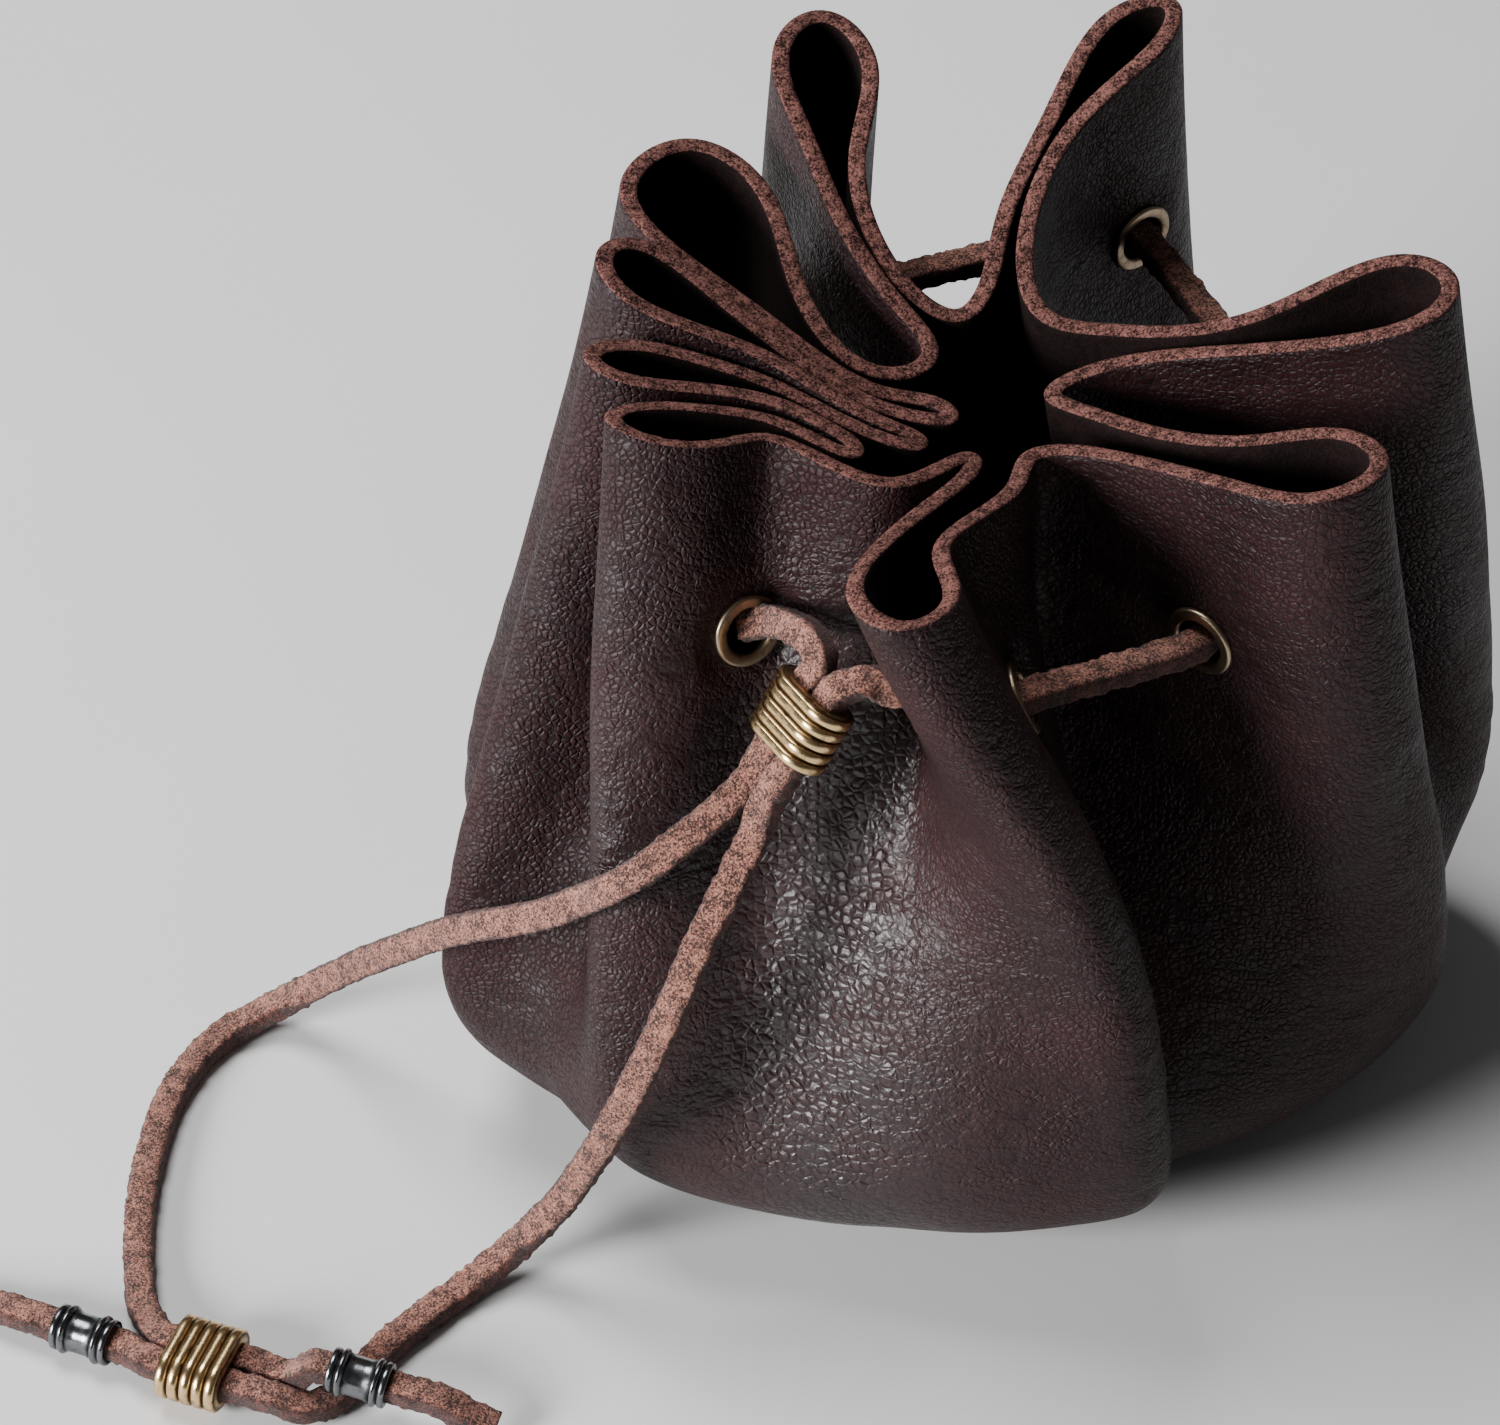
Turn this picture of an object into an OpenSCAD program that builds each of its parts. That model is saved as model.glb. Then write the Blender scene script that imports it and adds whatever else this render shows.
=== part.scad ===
// Drawstring dice bag: one leather disc gathered by a lace through eighteen eyelets,
// with a slider bead, a loop bead and two stop beads on the free ends of the lace.

/* [Leather] */
// Thickness of the leather sheet
leather_t = 2; // [1.6:0.1:2.1]
// Size of the whole pouch against its natural size
pouch_size = 1; // [0.98:0.01:1.04]

/* [Eyelets] */
// Inner diameter of an eyelet
eyelet_bore = 5.6; // [5.2:0.1:5.8]
// Outer diameter of an eyelet's rolled flange
eyelet_flange = 8.6; // [8:0.1:9.2]
// Outer diameter of an eyelet's barrel
eyelet_barrel = 6.4; // [6.2:0.1:6.6]
// Thickness of the flange and of the washer
eyelet_rim = 0.8; // [0.6:0.1:1]

/* [Lace] */
// Width of the flat suede lace
lace_w = 3.4; // [3:0.1:3.5]
// Thickness of the lace
lace_t = 2.6; // [2.2:0.1:2.8]

/* [Beads] */
// Length of a ribbed bead
ribbed_len = 7.6; // [6.5:0.1:8]
// Number of ribs on a ribbed bead
ribs = 5; // [4:1:6]
// Length of a stop bead
stop_len = 7; // [6:0.1:7.4]
// Largest diameter of a stop bead
stop_d = 5.8; // [5.4:0.1:6]
// Bore of a stop bead
stop_bore = 4.1; // [4:0.1:4.3]

/* [Hidden] */
EYELETS = 18;
function two_digits(k) = str(k < 10 ? "0" : "", k);

// Each lobe of the gathered mouth, in turn from the front one and counter-clockwise from above:
// [height of its tip, base azimuths of valley and ridge, base radius factors of valley and ridge,
//  swing of its ridge, outward push of its valley, outline of its rim from the valley round the tip]
LOBES = [
    [103, [-100, -67], [0.84, 0.86], 0, 0,
        [[-3.5, -10.5], [-3.5, -15], [-8, -21.5], [-13.5, -29.5], [-19, -41], [-13, -48.5],
         [-5, -41.5], [-9.5, -31.5], [-4, -24.5], [1.5, -18.5]]],
    [107, [-55, -20], [0.8, 0.95], 0, -12,
        [[1.5, -11], [7.5, -10.5], [15, -16.5], [24, -25], [31, -32], [41, -26], [36, -16.5],
         [26, -17], [16.5, -11.5], [9, -4]]],
    [111, [-2, 14], [0.97, 1.05], 0, 0,
        [[3.5, -1.5], [10, 3.5], [18, 2.5], [30, -3], [44, -8], [50.5, 0], [43, 8], [29, 2.5], [19, 5],
         [12, 8.5]]],
    [114, [34, 58], [0.92, 0.96], 0, 0,
        [[5, 10.5], [2.5, 16], [3.5, 24.5], [9, 34], [20, 40], [22, 49], [12, 46], [6.5, 33.5],
         [0.5, 24], [-0.5, 16]]],
    [114, [79, 100], [0.92, 0.96], 0, 0,
        [[-4, 10], [-10.5, 13], [-15.5, 20.5], [-16.5, 29], [-12.5, 39], [-19.5, 48], [-26.5, 38],
         [-21.5, 29], [-18.5, 20.5], [-12.5, 12]]],
    [107, [119, 138], [0.93, 0.96], 0, 0,
        [[-6, 6], [-11, 1], [-18, 1.7], [-23.5, 12], [-25, 26], [-35, 33], [-44, 22.5], [-38.5, 13.8],
         [-28, 7.5], [-20.5, 1.2], [-13.5, -2.5], [-7, -1.8]]],
    [109, [155, 171], [0.94, 0.96], 0, 0,
        [[-4.5, -6.6], [-13.5, -5.3], [-20, -2], [-25.5, 1.6], [-32.5, 7.3], [-40, 12.5], [-45.5, 8],
         [-42, 0.8], [-33, -0.1], [-25.5, -1], [-20, -4.4], [-14, -7.7], [-9, -8.7]]],
    [106, [186, 200], [0.97, 1.04], 0, 0,
        [[-9.5, -11.4], [-14, -10.4], [-20, -7.2], [-25, -4.2], [-32, -2.9], [-41, -2], [-47, -6],
         [-42, -10.2], [-33, -7.6], [-25, -6.9], [-20, -9.8], [-16.5, -12.1]]],
    [105, [211, 227], [0.96, 0.95], 0.4, 0,
        [[-16.3, -15.3], [-20.5, -12.9], [-25.5, -9.8], [-32, -10.4], [-39.5, -11.8], [-44.5, -15.5],
         [-38.5, -19], [-31.5, -17.5], [-26.5, -12.7], [-21.5, -15.6], [-13.5, -21.5], [-8, -16]]]
];

// Levels of the sheet from the base to the rim: [height at the valleys, share of the tip's extra height,
// scale of the rim outline, share of the round base form, its radius, swing angle, weight of the push]
LEVELS = [
    [leather_t / 2, 0, 1, 1, 33, 0, 0],
    [leather_t / 2 + 0.8, 0, 1, 1, 45, 0, 0],
    [7, 0, 1, 1, 56, 32, 0.1],
    [18, 0, 1.1, 0.95, 63, 32, 0.4],
    [31, 0.02, 1.15, 0.82, 64.5, 32, 0.8],
    [45, 0.1, 1.18, 0.58, 63, 30, 1],
    [58, 0.25, 1.15, 0.32, 62, 26, 0.9],
    [71, 0.5, 1.12, 0.12, 61, 20, 0.45],
    [84, 0.8, 1.05, 0.03, 60, 11, 0.12],
    [96, 1, 1, 0, 60, 0, 0]
];
// The front of the pouch on levels 3 to 8, in place of the outline there: the right flank of the left roll,
// the belly, the front roll and the crease beside it
FRONT_BEFORE = 6;        // points that belong to the last lobe
FRONT_LEVEL = 3;         // the first of these levels
FRONT = [
    [[-39.4, -45.3], [-34.8, -46], [-30, -46], [-25.5, -47], [-20.5, -49], [-16, -50.3],
     [-11.5, -51.3], [-7.5, -52], [-3, -52.2], [2.5, -51.8], [10, -51.2], [17.5, -51.5], [21, -47.5],
     [18.5, -43.5], [17.5, -40], [18.5, -37]],
    [[-40.1, -43.5], [-35.2, -43.3], [-30.3, -41], [-25.3, -41], [-20.3, -44], [-15.8, -47.2],
     [-11.5, -49.5], [-7.5, -51], [-3, -51.6], [2.5, -51.6], [9.3, -51.8], [16.5, -53], [19.5, -47.5],
     [15.5, -42], [13, -36], [13, -30]],
    [[-40, -38.5], [-35, -37.3], [-30, -33.5], [-25, -32.5], [-20, -36], [-15.8, -40.2],
     [-11.8, -43.5], [-8, -46], [-3.8, -47.8], [1, -49], [7.5, -50.5], [14.5, -53], [17.5, -46],
     [13, -39], [10.5, -32.5], [10, -26.5]],
    [[-39.7, -33.5], [-34.2, -31.3], [-29.3, -27.3], [-24.3, -26.7], [-18.5, -29.5], [-13.5, -31.5],
     [-10.3, -34], [-8.3, -38], [-5.5, -41.5], [-2, -45], [4, -48.5], [10.5, -52], [13.5, -44.5],
     [9, -36.5], [7.5, -29.5], [7.5, -23]],
    [[-39.9, -28.6], [-34, -27.3], [-29.3, -22.3], [-24.8, -20.8], [-17, -24], [-11.3, -22.8],
     [-7.6, -20], [-7, -25], [-7.8, -31], [-7.5, -38.5], [-3.5, -45.5], [3, -50.5], [7.5, -43],
     [2.5, -34], [3.5, -26.5], [4.5, -20]],
    [[-38.9, -23.4], [-33, -22], [-28.3, -17], [-23, -17.2], [-15.2, -22.3], [-9, -17.7], [-3.8, -12],
     [-4.3, -17], [-8.5, -23.5], [-12, -32], [-13, -43], [-7, -50.5], [0, -43], [-5, -33], [-1, -25.5],
     [2.5, -19]]
];
BASE_CENTRE_X = -3;      // the round belly stands this far to the left of the mouth
VALLEY_RADIUS = 12;      // a rim point this far out still has the valley's height
LOBE_REACH = 34;         // and this much further out it has the tip's height
VALLEY_Z = LEVELS[9][0];

// Where the eyelets sit: steps along the lobe's outline from its valley, and the level
EYELET_LEVEL = 7.4;
FIRST_FLANK = [2.3, 2.5, 3, 3.5, 3, 3, 3.5, 3.2, 3];
SECOND_FLANK = [2.8, 3, 3, 3, 3, 4, 4, 3.8, 4];

// Bead places: [centre, axis, direction of the wide side]
SLIDER_AT = [[-22.4, -32.9, 76.4], [-0.48, -0.27, -0.84], [-0.56, 0.82, 0.06]];
LOOP_AT = [[-90.7, -63.5, 3.6], [0.94, -0.34, 0], [0.34, 0.94, 0]];
STOP_LEFT_AT = [[-104.5, -59, 3.2], [-0.92, 0.38, 0], [0.38, 0.92, 0]];
STOP_RIGHT_AT = [[-72.3, -67.5, 6], [0.96, -0.26, -0.11], [0.26, 0.96, 0]];
LACE_GAP = 0.3;          // between the laces, and between a lace and its bead
FLAT_IN_SLIDER = 6;      // points of a strand that lie flat with the slider bead

// Free ends of the lace, after they leave the eyelets
STRAND_LEFT = [
    [-26, -21.6, 80.6], [-23.2, -25.2, 83], [-21, -28.2, 83.4],
    each through_bead(SLIDER_AT, 1, [-6.4, -4.2, 9.4]),
    [-31, -36.2, 66.4], [-35.5, -38.6, 63.6], [-39.5, -40, 60.6], [-43, -39.5, 57.2], [-47, -36, 51.3],
    [-52, -32.8, 45.6], [-57, -29.6, 41], [-61.5, -25.8, 36], [-66, -21.8, 30], [-71, -17.4, 23],
    [-76, -12.8, 15.5], [-81, -9.2, 8.5], [-86, -8, 3.6], [-91.5, -10.3, 1.7], [-95, -14.5, 1.5],
    [-98, -21.5, 1.5], [-99.6, -30.5, 1.5], [-100, -40, 1.5], [-99.4, -48, 1.6], [-98.4, -54, 2.2],
    each through_bead(LOOP_AT, 1, [-5.6, -4.2, 10.2]),
    each through_bead(STOP_RIGHT_AT, 0, [-5.2, -4.2, 8, 9.5]),
    [-60.5, -70.7, 3.6], [-57, -71.6, 2]
];
STRAND_RIGHT = [
    [-12, -31.6, 79.6], [-15.6, -32.3, 81.6],
    each through_bead(SLIDER_AT, -1, [-5.2, -4.2, 9.4]),
    [-27.6, -38, 63.8], [-30.3, -41.2, 59], [-33.5, -44.6, 53.4],
    [-36.4, -47.4, 46.8], [-39.3, -49, 39.6], [-42.6, -49.6, 31], [-46, -48.6, 22], [-50.2, -47.4, 12.5],
    [-55.2, -47.2, 5], [-60.5, -50.2, 1.8], [-65.5, -54.8, 1.5], [-69.5, -59, 1.5], [-72.4, -63, 1.5],
    [-75.4, -67, 1.6], [-78.8, -69, 2.6],
    each through_bead(LOOP_AT, -1, [10.2, 8, -4.2, -5.6]),
    each through_bead(STOP_LEFT_AT, 0, [-5.2, -4.2, 8, 9.5]),
    [-117.5, -53.5, 2], [-122, -52, 1.5], [-127, -50.8, 1.5]
];

RIB_DEPTH = 0.5;
BEAD_WALL = 1.1;

// ---- curves ----
function unit(v) = v / norm(v);
// Direction of the wide side, square to the bead's axis
function across_bead(at) = unit(at[2] - (at[2] * unit(at[1])) * unit(at[1]));
// Points of a lace through a bead: on its left (-1), middle (0) or right (1), at distances along its axis
function through_bead(at, side, distances) = [
    for (d = distances)
        at[0] + side * (lace_w + LACE_GAP) / 2 * across_bead(at) + d * unit(at[1])
];
function weights(t) = [
    pow(1 - t, 3) / 6,
    (3 * pow(t, 3) - 6 * t * t + 4) / 6,
    (-3 * pow(t, 3) + 3 * t * t + 3 * t + 1) / 6,
    pow(t, 3) / 6
];
function wrap(i, n) = ((i % n) + n) % n;
// Point of a closed cubic spline at u, counted in control points
function closed_at(points, u) =
    let (n = len(points), i = floor(u), w = weights(u - i))
    w * [for (k = [-1 : 2]) points[wrap(i + k, n)]];
// Values of an open cubic spline at v, whose ends pass through the end points
function row_or_mirror(rows, k) =
    k < 0 ? 2 * rows[0] - rows[1] :
    k > len(rows) - 1 ? 2 * rows[len(rows) - 1] - rows[len(rows) - 2] :
    rows[k];
function open_at(rows, v) =
    let (i = min(floor(v), len(rows) - 2), w = weights(v - i))
    w[0] * row_or_mirror(rows, i - 1) + w[1] * rows[i] +
    w[2] * rows[i + 1] + w[3] * row_or_mirror(rows, i + 2);

// ---- the gathered sheet ----
function radii(outline) = [for (p = outline) norm(p)];
function tip_index(outline) =
    let (r = radii(outline))
    [for (j = [0 : len(r) - 1]) if (r[j] == max(r)) j][0];
function lobe_start(i) = i == 0 ? 0 : lobe_start(i - 1) + len(LOBES[i - 1][5]);
function polar(a, r) = [r * cos(a), r * sin(a)];
function turned(p, a) = [p[0] * cos(a) - p[1] * sin(a), p[0] * sin(a) + p[1] * cos(a)];

// Control point j of lobe i at a level
function control_point(level, i, j) =
    let (
        lobe = LOBES[i],
        next = LOBES[(i + 1) % len(LOBES)],
        next_turn = next[1][0] < lobe[1][1] ? 360 : 0,
        outline = lobe[5],
        tip = tip_index(outline),
        rising = j <= tip,
        q = rising ? j / tip : (len(outline) - j) / (len(outline) - tip),
        valley_a = rising ? lobe[1][0] : next[1][0] + next_turn,
        valley_f = rising ? lobe[2][0] : next[2][0],
        push = (rising ? lobe[4] : next[4]) * level[6] * pow(1 - q, 2),
        a = valley_a + (lobe[1][1] - valley_a) * q,
        factor = valley_f + (lobe[2][1] - valley_f) * q,
        reach = min(1, max(0, (norm(outline[j]) - VALLEY_RADIUS) / LOBE_REACH)),
        gathered = turned(outline[j], lobe[3] * level[5] * reach),
        round_base = [BASE_CENTRE_X, 0] + polar(a, level[4] * factor),
        plan = (1 - level[3]) * level[2] * gathered + level[3] * round_base + polar(valley_a, push)
    )
    [plan[0], plan[1], level[0] + level[1] * reach * (lobe[0] - VALLEY_Z)];
// The same, with the front of the pouch put in: row l, and place c round the mouth
function sheet_point(l, c, point) =
    let (front = FRONT[l - FRONT_LEVEL], k = wrap(c + FRONT_BEFORE, AROUND))
    is_undef(front) || k >= len(front) ? point : [front[k][0], front[k][1], point[2]];

AROUND = lobe_start(len(LOBES));
CONTROL = [
    for (l = [0 : len(LEVELS) - 1]) [
        for (i = [0 : len(LOBES) - 1], j = [0 : len(LOBES[i][5]) - 1])
            sheet_point(l, lobe_start(i) + j, control_point(LEVELS[l], i, j))
    ]
];
// Middle of the leather sheet at u round the mouth and v up the side
function sheet_at(u, v) =
    let (i = floor(u), columns = [for (k = [-1 : 2]) wrap(i + k, AROUND)], w = weights(u - i))
    w * [for (c = columns) open_at([for (row = CONTROL) row[c]], v)];
function sheet_normal(u, v) =
    let (
        d = 0.05,
        across = sheet_at(u + d, v) - sheet_at(u - d, v),
        up = sheet_at(u, v + d) - sheet_at(u, v - d)
    )
    unit(cross(across, up));

COLUMNS_PER_POINT = 2;
ROWS = [0, 1, 1.6, 2.2, 3, 3.8, 4.6, 5.4, 6.2, 6.9, 7.6, 8.3, 9];
COLUMNS = AROUND * COLUMNS_PER_POINT;
GRID = [
    for (v = ROWS)
        let (row = [for (c = [0 : AROUND - 1]) open_at([for (r = CONTROL) r[c]], v)])
        [for (k = [0 : COLUMNS - 1]) closed_at(row, k / COLUMNS_PER_POINT)]
];
function grid_normal(r, c) =
    r == 0 ? [0, 0, -1] :
    let (
        above = GRID[min(r + 1, len(ROWS) - 1)][c],
        below = GRID[r - 1][c],
        ahead = GRID[r][(c + 1) % COLUMNS],
        behind = GRID[r][wrap(c - 1, COLUMNS)]
    )
    unit(cross(ahead - behind, above - below));
function skin(side) = [
    for (r = [0 : len(ROWS) - 1], c = [0 : COLUMNS - 1])
        pouch_size * (GRID[r][c] + side * leather_t / 2 * grid_normal(r, c))
];

module pouch_shell() {
    ring = COLUMNS;
    rows = len(ROWS);
    inner = ring * rows;
    hub = 2 * inner;
    points = concat(
        skin(1), skin(-1),
        [[BASE_CENTRE_X, 0, 0], [BASE_CENTRE_X, 0, leather_t * pouch_size]]
    );
    faces = [
        for (c = [0 : ring - 1])
            let (d = (c + 1) % ring, top = ring * (rows - 1))
            each concat(
                [[hub, c, d], [hub + 1, inner + d, inner + c]],
                [[top + c, inner + top + c, top + d], [top + d, inner + top + c, inner + top + d]],
                [for (r = [0 : rows - 2])
                    let (a = r * ring, b = a + ring)
                    each [
                        [a + c, b + d, a + d], [a + c, b + c, b + d],
                        [inner + a + c, inner + a + d, inner + b + d],
                        [inner + a + c, inner + b + d, inner + b + c]
                    ]]
            )
    ];
    polyhedron(points, faces, convexity = 20);
}

// ---- eyelets ----
function eyelet_u(k) =
    let (i = floor((k - 1) / 2), first = k % 2 == 1)
    first ? lobe_start(i) + FIRST_FLANK[i] : lobe_start(i) + len(LOBES[i][5]) - SECOND_FLANK[i];
function eyelet_place(k) = pouch_size * sheet_at(eyelet_u(k), EYELET_LEVEL);
function eyelet_axis(k) = sheet_normal(eyelet_u(k), EYELET_LEVEL);

// Turns +Z to the given axis and +X to the side nearest the given direction
module place(centre, axis, side = [0, 0, 1]) {
    z = unit(axis);
    x = unit(side - (side * z) * z);
    y = cross(z, x);
    multmatrix([
        [x[0], y[0], z[0], centre[0]],
        [x[1], y[1], z[1], centre[1]],
        [x[2], y[2], z[2], centre[2]]
    ])
        children();
}

module pouch_leather() {
    color("#3a1f1f")
        difference() {
            pouch_shell();
            for (k = [1 : EYELETS])
                place(eyelet_place(k), eyelet_axis(k))
                    cylinder(d = eyelet_barrel, h = 2 * leather_t, center = true, $fn = 24);
        }
}

// Brass barrel through the leather with a rolled flange outside
module eyelet(k) {
    color("#8a6a3a")
        place(eyelet_place(k), eyelet_axis(k))
            rotate_extrude($fn = 32)
                polygon([
                    [eyelet_bore / 2, -leather_t / 2 - eyelet_rim],
                    [eyelet_barrel / 2, -leather_t / 2 - eyelet_rim],
                    [eyelet_barrel / 2, leather_t / 2],
                    [eyelet_flange / 2, leather_t / 2],
                    [eyelet_flange / 2 - 0.5, leather_t / 2 + eyelet_rim * 0.7],
                    [eyelet_bore / 2 + 0.7, leather_t / 2 + eyelet_rim],
                    [eyelet_bore / 2, leather_t / 2 + eyelet_rim * 0.4]
                ]);
}

// Brass ring that the barrel is set over on the inside
module washer(k) {
    color("#8a6a3a")
        place(eyelet_place(k), eyelet_axis(k))
            rotate_extrude($fn = 32)
                polygon([
                    [eyelet_barrel / 2, -leather_t / 2 - eyelet_rim],
                    [eyelet_flange / 2 - 0.4, -leather_t / 2 - eyelet_rim],
                    [eyelet_flange / 2, -leather_t / 2],
                    [eyelet_barrel / 2, -leather_t / 2]
                ]);
}

// ---- lace ----
// Eight-sided section of the lace, across and through
LACE_SECTION = [
    [lace_w / 2, -lace_t / 4], [lace_w / 3, -lace_t / 2], [-lace_w / 3, -lace_t / 2],
    [-lace_w / 2, -lace_t / 4], [-lace_w / 2, lace_t / 4], [-lace_w / 3, lace_t / 2],
    [lace_w / 3, lace_t / 2], [lace_w / 2, lace_t / 4]
];
// Tube along the points of a route, with the given up direction at each point
module lace_tube(route, ups) {
    n = len(route);
    sides = len(LACE_SECTION);
    points = [
        for (i = [0 : n - 1])
            let (
                along = unit(route[min(i + 1, n - 1)] - route[max(i - 1, 0)]),
                wide = unit(cross(along, ups[i])),
                through = cross(wide, along)
            )
            for (s = LACE_SECTION) route[i] + s[0] * wide + s[1] * through
    ];
    faces = concat(
        [[for (s = [0 : sides - 1]) s]],
        [[for (s = [0 : sides - 1]) n * sides - 1 - s]],
        [for (i = [0 : n - 2], s = [0 : sides - 1])
            let (a = i * sides, t = (s + 1) % sides)
            each [[a + s, a + sides + s, a + t], [a + t, a + sides + s, a + sides + t]]]
    );
    polyhedron(points, faces, convexity = 10);
}
// The lace runs through each lobe from one flank to the other, and outside from lobe to lobe
LACING = [for (k = [1 : EYELETS]) eyelet_place(k)];

module lacing() {
    color("#7a4a3a")
        lace_tube(LACING, [for (p = LACING) [0, 0, 1]]);
}
// A strand lies flat on what is under it, and flat in a ribbed bead
function slider_side() = cross(across_bead(SLIDER_AT), unit(SLIDER_AT[1]));
module strand(first, points) {
    route = concat([eyelet_place(first)], points);
    ups = [for (i = [0 : len(route) - 1]) i <= FLAT_IN_SLIDER ? slider_side() : [0, 0, 1]];
    color("#7a4a3a")
        lace_tube(route, ups);
}
module strand_left() {
    strand(EYELETS, STRAND_LEFT);
}
module strand_right() {
    strand(1, STRAND_RIGHT);
}

// ---- beads ----
BEAD_BORE_W = 2 * lace_w + 3 * LACE_GAP;
BEAD_BORE_T = lace_t + 2 * LACE_GAP;
module stadium(w, t) {
    square([w - t, t], center = true);
    for (side = [-1, 1])
        translate([side * (w - t) / 2, 0]) circle(d = t, $fn = 32);
}
// Flat ribbed bead with room for two laces side by side
module ribbed_bead(at) {
    pitch = ribbed_len / ribs;
    color("#9a7a45")
        place(at[0], at[1], at[2])
            difference() {
                union() {
                    translate([0, 0, -ribbed_len / 2])
                        linear_extrude(ribbed_len)
                            stadium(BEAD_BORE_W + 2 * BEAD_WALL, BEAD_BORE_T + 2 * BEAD_WALL);
                    for (r = [0 : ribs - 1])
                        translate([0, 0, -ribbed_len / 2 + (r + 0.15) * pitch])
                            linear_extrude(pitch * 0.7)
                                stadium(
                                    BEAD_BORE_W + 2 * BEAD_WALL + 2 * RIB_DEPTH,
                                    BEAD_BORE_T + 2 * BEAD_WALL + 2 * RIB_DEPTH
                                );
                }
                translate([0, 0, -ribbed_len])
                    linear_extrude(2 * ribbed_len)
                        stadium(BEAD_BORE_W, BEAD_BORE_T);
            }
}
// Waisted round bead with two rings at each end
module stop_bead(at) {
    h = stop_len / 2;
    r = stop_d / 2;
    color("#3c3f45")
        place(at[0], at[1], at[2])
            rotate_extrude($fn = 48)
                polygon([
                    [stop_bore / 2, -h], [r - 0.2, -h], [r - 0.2, -h + 0.7], [r - 0.45, -h + 0.8],
                    [r - 0.45, -h + 0.95], [r, -h + 1.05], [r, -h + 1.8], [r - 0.4, -h + 2],
                    [r - 0.5, 0], [r - 0.4, h - 2], [r, h - 1.8], [r, h - 1.05],
                    [r - 0.45, h - 0.95], [r - 0.45, h - 0.8], [r - 0.2, h - 0.7], [r - 0.2, h],
                    [stop_bore / 2, h]
                ]);
}
module slider_bead() {
    ribbed_bead(SLIDER_AT);
}
module loop_bead() {
    ribbed_bead(LOOP_AT);
}
module stop_bead_left() {
    stop_bead(STOP_LEFT_AT);
}
module stop_bead_right() {
    stop_bead(STOP_RIGHT_AT);
}

pouch_leather();
lacing();
strand_left();
strand_right();
slider_bead();
loop_bead();
stop_bead_left();
stop_bead_right();
for (k = [1 : EYELETS]) {
    eyelet(k);
    washer(k);
}
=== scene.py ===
"""Drawstring dice bag: looks of the gathered leather pouch, its lace, eyelets and beads."""

import math

import bpy
import numpy as np
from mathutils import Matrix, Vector


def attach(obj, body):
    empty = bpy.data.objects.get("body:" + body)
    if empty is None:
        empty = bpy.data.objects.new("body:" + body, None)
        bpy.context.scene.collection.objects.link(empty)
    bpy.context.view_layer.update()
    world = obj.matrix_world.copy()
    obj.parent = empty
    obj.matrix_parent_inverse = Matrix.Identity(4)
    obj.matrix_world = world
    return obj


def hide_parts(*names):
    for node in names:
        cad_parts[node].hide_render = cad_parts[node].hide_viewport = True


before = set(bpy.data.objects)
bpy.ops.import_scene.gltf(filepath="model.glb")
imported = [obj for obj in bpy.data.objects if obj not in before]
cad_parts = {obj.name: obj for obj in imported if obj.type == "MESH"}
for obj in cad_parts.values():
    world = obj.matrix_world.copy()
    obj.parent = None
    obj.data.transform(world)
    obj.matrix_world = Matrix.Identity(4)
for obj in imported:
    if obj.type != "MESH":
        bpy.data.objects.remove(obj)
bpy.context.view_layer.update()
MM = 0.001

# ---- sizes and tables, in millimetres, as in the part's source ----
LEATHER_T = 2.0
EYELET_BORE = 5.6
EYELET_FLANGE = 8.6
EYELET_BARREL = 6.4
EYELET_RIM = 0.8
LACE_W = 3.4
LACE_T = 2.6
RIBBED_LEN = 7.6
RIBS = 5
RIB_DEPTH = 0.5
BEAD_WALL = 1.1
STOP_LEN = 7.0
STOP_D = 5.8
STOP_BORE = 4.1
LACE_GAP = 0.3

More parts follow.
